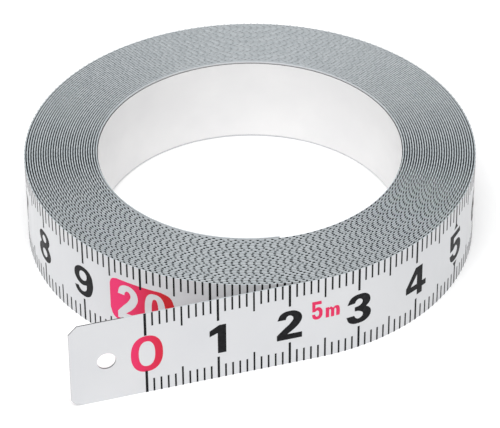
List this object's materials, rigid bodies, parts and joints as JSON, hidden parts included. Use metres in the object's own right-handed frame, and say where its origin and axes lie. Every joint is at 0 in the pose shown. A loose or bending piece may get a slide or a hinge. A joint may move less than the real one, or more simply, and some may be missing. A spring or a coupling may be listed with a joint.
{
  "type": "tape measure",
  "caption": "Caseless adhesive-backed steel measuring tape: a flat printed tape wound into an open coil, its straight zero end with a hanging hole.",
  "frame": {"origin": "on the coil's axis, in the plane it rests on", "axes": "+Z along the coil's axis and across the tape's width; -Y is the front, where the straight zero end leaves the coil and runs towards -X"},
  "size_m": [0.0666, 0.064, 0.0134],
  "materials": {
    "enamelled_steel": "satin white enamel under a clear coat",
    "adhesive_film": "thin translucent acrylic adhesive",
    "release_liner": "smooth coated release paper"
  },
  "bodies": {
    "coil": {"coil_blade": "enamelled_steel", "coil_adhesive": "adhesive_film", "coil_liner": "release_liner"},
    "lap_01": {"lap_blade_01": "enamelled_steel", "lap_backing_01": "release_liner"},
    "lap_02": {"lap_blade_02": "enamelled_steel", "lap_backing_02": "release_liner"},
    "lap_03": {"lap_blade_03": "enamelled_steel", "lap_backing_03": "release_liner"},
    "lap_04": {"lap_blade_04": "enamelled_steel", "lap_backing_04": "release_liner"},
    "lap_05": {"lap_blade_05": "enamelled_steel", "lap_backing_05": "release_liner"},
    "lap_06": {"lap_blade_06": "enamelled_steel", "lap_backing_06": "release_liner"},
    "lap_07": {"lap_blade_07": "enamelled_steel", "lap_backing_07": "release_liner"},
    "lap_08": {"lap_blade_08": "enamelled_steel", "lap_backing_08": "release_liner"},
    "lap_09": {"lap_blade_09": "enamelled_steel", "lap_backing_09": "release_liner"},
    "lap_10": {"lap_blade_10": "enamelled_steel", "lap_backing_10": "release_liner"},
    "lap_11": {"lap_blade_11": "enamelled_steel", "lap_backing_11": "release_liner"},
    "lap_12": {"lap_blade_12": "enamelled_steel", "lap_backing_12": "release_liner"},
    "lap_13": {"lap_blade_13": "enamelled_steel", "lap_backing_13": "release_liner"},
    "lap_14": {"lap_blade_14": "enamelled_steel", "lap_backing_14": "release_liner"},
    "lap_15": {"lap_blade_15": "enamelled_steel", "lap_backing_15": "release_liner"},
    "lap_16": {"lap_blade_16": "enamelled_steel", "lap_backing_16": "release_liner"},
    "lap_17": {"lap_blade_17": "enamelled_steel", "lap_backing_17": "release_liner"},
    "lap_18": {"lap_blade_18": "enamelled_steel", "lap_backing_18": "release_liner"},
    "lap_19": {"lap_blade_19": "enamelled_steel", "lap_backing_19": "release_liner"},
    "lap_20": {"lap_blade_20": "enamelled_steel", "lap_backing_20": "release_liner"},
    "tail_1": {"tail_blade_1": "enamelled_steel", "tail_adhesive_1": "adhesive_film", "tail_liner_1": "release_liner"},
    "tail_2": {"tail_blade_2": "enamelled_steel", "tail_adhesive_2": "adhesive_film", "tail_liner_2": "release_liner"},
    "tail_3": {"tail_blade_3": "enamelled_steel", "tail_adhesive_3": "adhesive_film", "tail_liner_3": "release_liner"}
  },
  "joints": [
    {"name": "unroll_01", "type": "hinge", "parent": "coil", "child": "lap_01", "pos_m": [0, -0.03174, 0.0067], "axis": [0, 0, 1], "range_deg": [0, 18]},
    {"name": "unroll_02", "type": "hinge", "parent": "lap_01", "child": "lap_02", "pos_m": [-0.00983, -0.03018, 0.0067], "axis": [0, 0, 1], "range_deg": [0, 18]},
    {"name": "unroll_03", "type": "hinge", "parent": "lap_02", "child": "lap_03", "pos_m": [-0.01871, -0.02566, 0.0067], "axis": [0, 0, 1], "range_deg": [0, 18]},
    {"name": "unroll_04", "type": "hinge", "parent": "lap_03", "child": "lap_04", "pos_m": [-0.02575, -0.01862, 0.0067], "axis": [0, 0, 1], "range_deg": [0, 18]},
    {"name": "unroll_05", "type": "hinge", "parent": "lap_04", "child": "lap_05", "pos_m": [-0.03027, -0.00975, 0.0067], "axis": [0, 0, 1], "range_deg": [0, 18]},
    {"name": "unroll_06", "type": "hinge", "parent": "lap_05", "child": "lap_06", "pos_m": [-0.03183, 0.00009, 0.0067], "axis": [0, 0, 1], "range_deg": [0, 18]},
    {"name": "unroll_07", "type": "hinge", "parent": "lap_06", "child": "lap_07", "pos_m": [-0.03027, 0.00992, 0.0067], "axis": [0, 0, 1], "range_deg": [0, 18]},
    {"name": "unroll_08", "type": "hinge", "parent": "lap_07", "child": "lap_08", "pos_m": [-0.02575, 0.01879, 0.0067], "axis": [0, 0, 1], "range_deg": [0, 18]},
    {"name": "unroll_09", "type": "hinge", "parent": "lap_08", "child": "lap_09", "pos_m": [-0.01871, 0.02583, 0.0067], "axis": [0, 0, 1], "range_deg": [0, 18]},
    {"name": "unroll_10", "type": "hinge", "parent": "lap_09", "child": "lap_10", "pos_m": [-0.00983, 0.03036, 0.0067], "axis": [0, 0, 1], "range_deg": [0, 18]},
    {"name": "unroll_11", "type": "hinge", "parent": "lap_10", "child": "lap_11", "pos_m": [0, 0.03191, 0.0067], "axis": [0, 0, 1], "range_deg": [0, 18]},
    {"name": "unroll_12", "type": "hinge", "parent": "lap_11", "child": "lap_12", "pos_m": [0.00989, 0.03035, 0.0067], "axis": [0, 0, 1], "range_deg": [0, 18]},
    {"name": "unroll_13", "type": "hinge", "parent": "lap_12", "child": "lap_13", "pos_m": [0.01881, 0.0258, 0.0067], "axis": [0, 0, 1], "range_deg": [0, 18]},
    {"name": "unroll_14", "type": "hinge", "parent": "lap_13", "child": "lap_14", "pos_m": [0.02589, 0.01872, 0.0067], "axis": [0, 0, 1], "range_deg": [0, 18]},
    {"name": "unroll_15", "type": "hinge", "parent": "lap_14", "child": "lap_15", "pos_m": [0.03043, 0.0098, 0.0067], "axis": [0, 0, 1], "range_deg": [0, 18]},
    {"name": "unroll_16", "type": "hinge", "parent": "lap_15", "child": "lap_16", "pos_m": [0.032, -0.00009, 0.0067], "axis": [0, 0, 1], "range_deg": [0, 18]},
    {"name": "unroll_17", "type": "hinge", "parent": "lap_16", "child": "lap_17", "pos_m": [0.03043, -0.00998, 0.0067], "axis": [0, 0, 1], "range_deg": [0, 18]},
    {"name": "unroll_18", "type": "hinge", "parent": "lap_17", "child": "lap_18", "pos_m": [0.02589, -0.0189, 0.0067], "axis": [0, 0, 1], "range_deg": [0, 18]},
    {"name": "unroll_19", "type": "hinge", "parent": "lap_18", "child": "lap_19", "pos_m": [0.01881, -0.02598, 0.0067], "axis": [0, 0, 1], "range_deg": [0, 18]},
    {"name": "unroll_20", "type": "hinge", "parent": "lap_19", "child": "lap_20", "pos_m": [0.00989, -0.03052, 0.0067], "axis": [0, 0, 1], "range_deg": [0, 18]},
    {"name": "tail_bend_1", "type": "hinge", "parent": "lap_20", "child": "tail_1", "pos_m": [-0.0045, -0.0318, 0.0067], "axis": [0, 0, -1], "range_deg": [-6, 15.8], "stiffness_Nm_per_rad": 0.004},
    {"name": "tail_bend_2", "type": "hinge", "parent": "tail_1", "child": "tail_2", "pos_m": [-0.0135, -0.0318, 0.0067], "axis": [0, 0, -1], "range_deg": [-6, 15.8], "stiffness_Nm_per_rad": 0.004},
    {"name": "tail_bend_3", "type": "hinge", "parent": "tail_2", "child": "tail_3", "pos_m": [-0.0225, -0.0318, 0.0067], "axis": [0, 0, -1], "range_deg": [-6, 15.8], "stiffness_Nm_per_rad": 0.004}
  ],
  "couplings": [
    {"joint": "unroll_01", "follows": "unroll_20", "ratio": 1},
    {"joint": "unroll_02", "follows": "unroll_20", "ratio": 1},
    {"joint": "unroll_03", "follows": "unroll_20", "ratio": 1},
    {"joint": "unroll_04", "follows": "unroll_20", "ratio": 1},
    {"joint": "unroll_05", "follows": "unroll_20", "ratio": 1},
    {"joint": "unroll_06", "follows": "unroll_20", "ratio": 1},
    {"joint": "unroll_07", "follows": "unroll_20", "ratio": 1},
    {"joint": "unroll_08", "follows": "unroll_20", "ratio": 1},
    {"joint": "unroll_09", "follows": "unroll_20", "ratio": 1},
    {"joint": "unroll_10", "follows": "unroll_20", "ratio": 1},
    {"joint": "unroll_11", "follows": "unroll_20", "ratio": 1},
    {"joint": "unroll_12", "follows": "unroll_20", "ratio": 1},
    {"joint": "unroll_13", "follows": "unroll_20", "ratio": 1},
    {"joint": "unroll_14", "follows": "unroll_20", "ratio": 1},
    {"joint": "unroll_15", "follows": "unroll_20", "ratio": 1},
    {"joint": "unroll_16", "follows": "unroll_20", "ratio": 1},
    {"joint": "unroll_17", "follows": "unroll_20", "ratio": 1},
    {"joint": "unroll_18", "follows": "unroll_20", "ratio": 1},
    {"joint": "unroll_19", "follows": "unroll_20", "ratio": 1},
    {"joint": "tail_bend_2", "follows": "tail_bend_1", "ratio": 1},
    {"joint": "tail_bend_3", "follows": "tail_bend_1", "ratio": 1}
  ]
}
